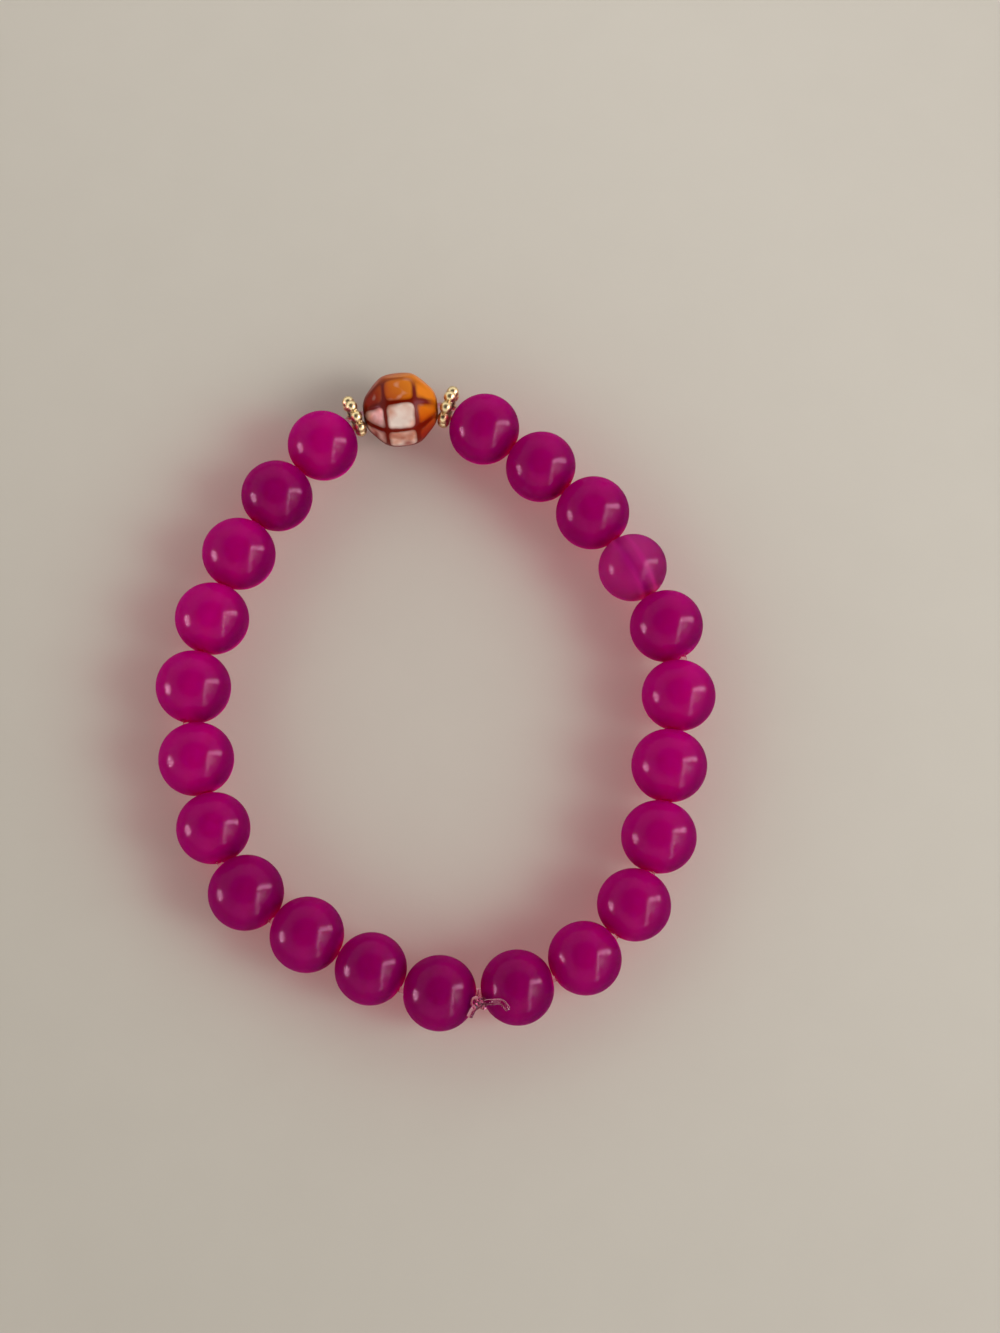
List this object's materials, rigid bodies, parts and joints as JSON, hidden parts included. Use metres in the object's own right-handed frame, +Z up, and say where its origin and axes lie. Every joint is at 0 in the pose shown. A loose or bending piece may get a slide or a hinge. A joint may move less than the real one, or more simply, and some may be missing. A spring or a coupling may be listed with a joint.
{
  "type": "beaded bracelet",
  "caption": "Stretch bracelet of round translucent magenta beads and one faceted copper-lustre bead between two gold daisy spacers, strung on clear elastic and lying flat.",
  "frame": {"origin": "on the surface the bracelet lies on, under the middle of its box", "axes": "+Z up through the wrist opening, +Y towards the faceted bead, +X to the right seen from above"},
  "size_m": [0.0606, 0.073, 0.0083],
  "materials": {
    "bead_glass_light": "polished, translucent magenta",
    "bead_glass_middle": "polished, translucent magenta",
    "bead_glass_deep": "polished, translucent deep magenta",
    "bead_glass_clear": "polished, clearer pink magenta",
    "lustre_glass": "cut facets, amber under a copper lustre",
    "pale_gold": "bright pale gold plate, granulated",
    "clear_elastic": "clear stretch cord"
  },
  "bodies": {
    "root": {"focal_bead": "lustre_glass", "spacer_left": "pale_gold", "spacer_right": "pale_gold", "elastic_thread": "clear_elastic", "bead_01": "bead_glass_light", "bead_02": "bead_glass_deep", "bead_03": "bead_glass_light", "bead_04": "bead_glass_light", "bead_05": "bead_glass_light", "bead_06": "bead_glass_light", "bead_07": "bead_glass_middle", "bead_08": "bead_glass_deep", "bead_09": "bead_glass_deep", "bead_10": "bead_glass_deep", "bead_11": "bead_glass_deep", "bead_12": "bead_glass_deep", "bead_13": "bead_glass_middle", "bead_14": "bead_glass_middle", "bead_15": "bead_glass_middle", "bead_16": "bead_glass_light", "bead_17": "bead_glass_light", "bead_18": "bead_glass_middle", "bead_19": "bead_glass_clear", "bead_20": "bead_glass_middle", "bead_21": "bead_glass_middle", "bead_22": "bead_glass_middle"}
  },
  "joints": []
}
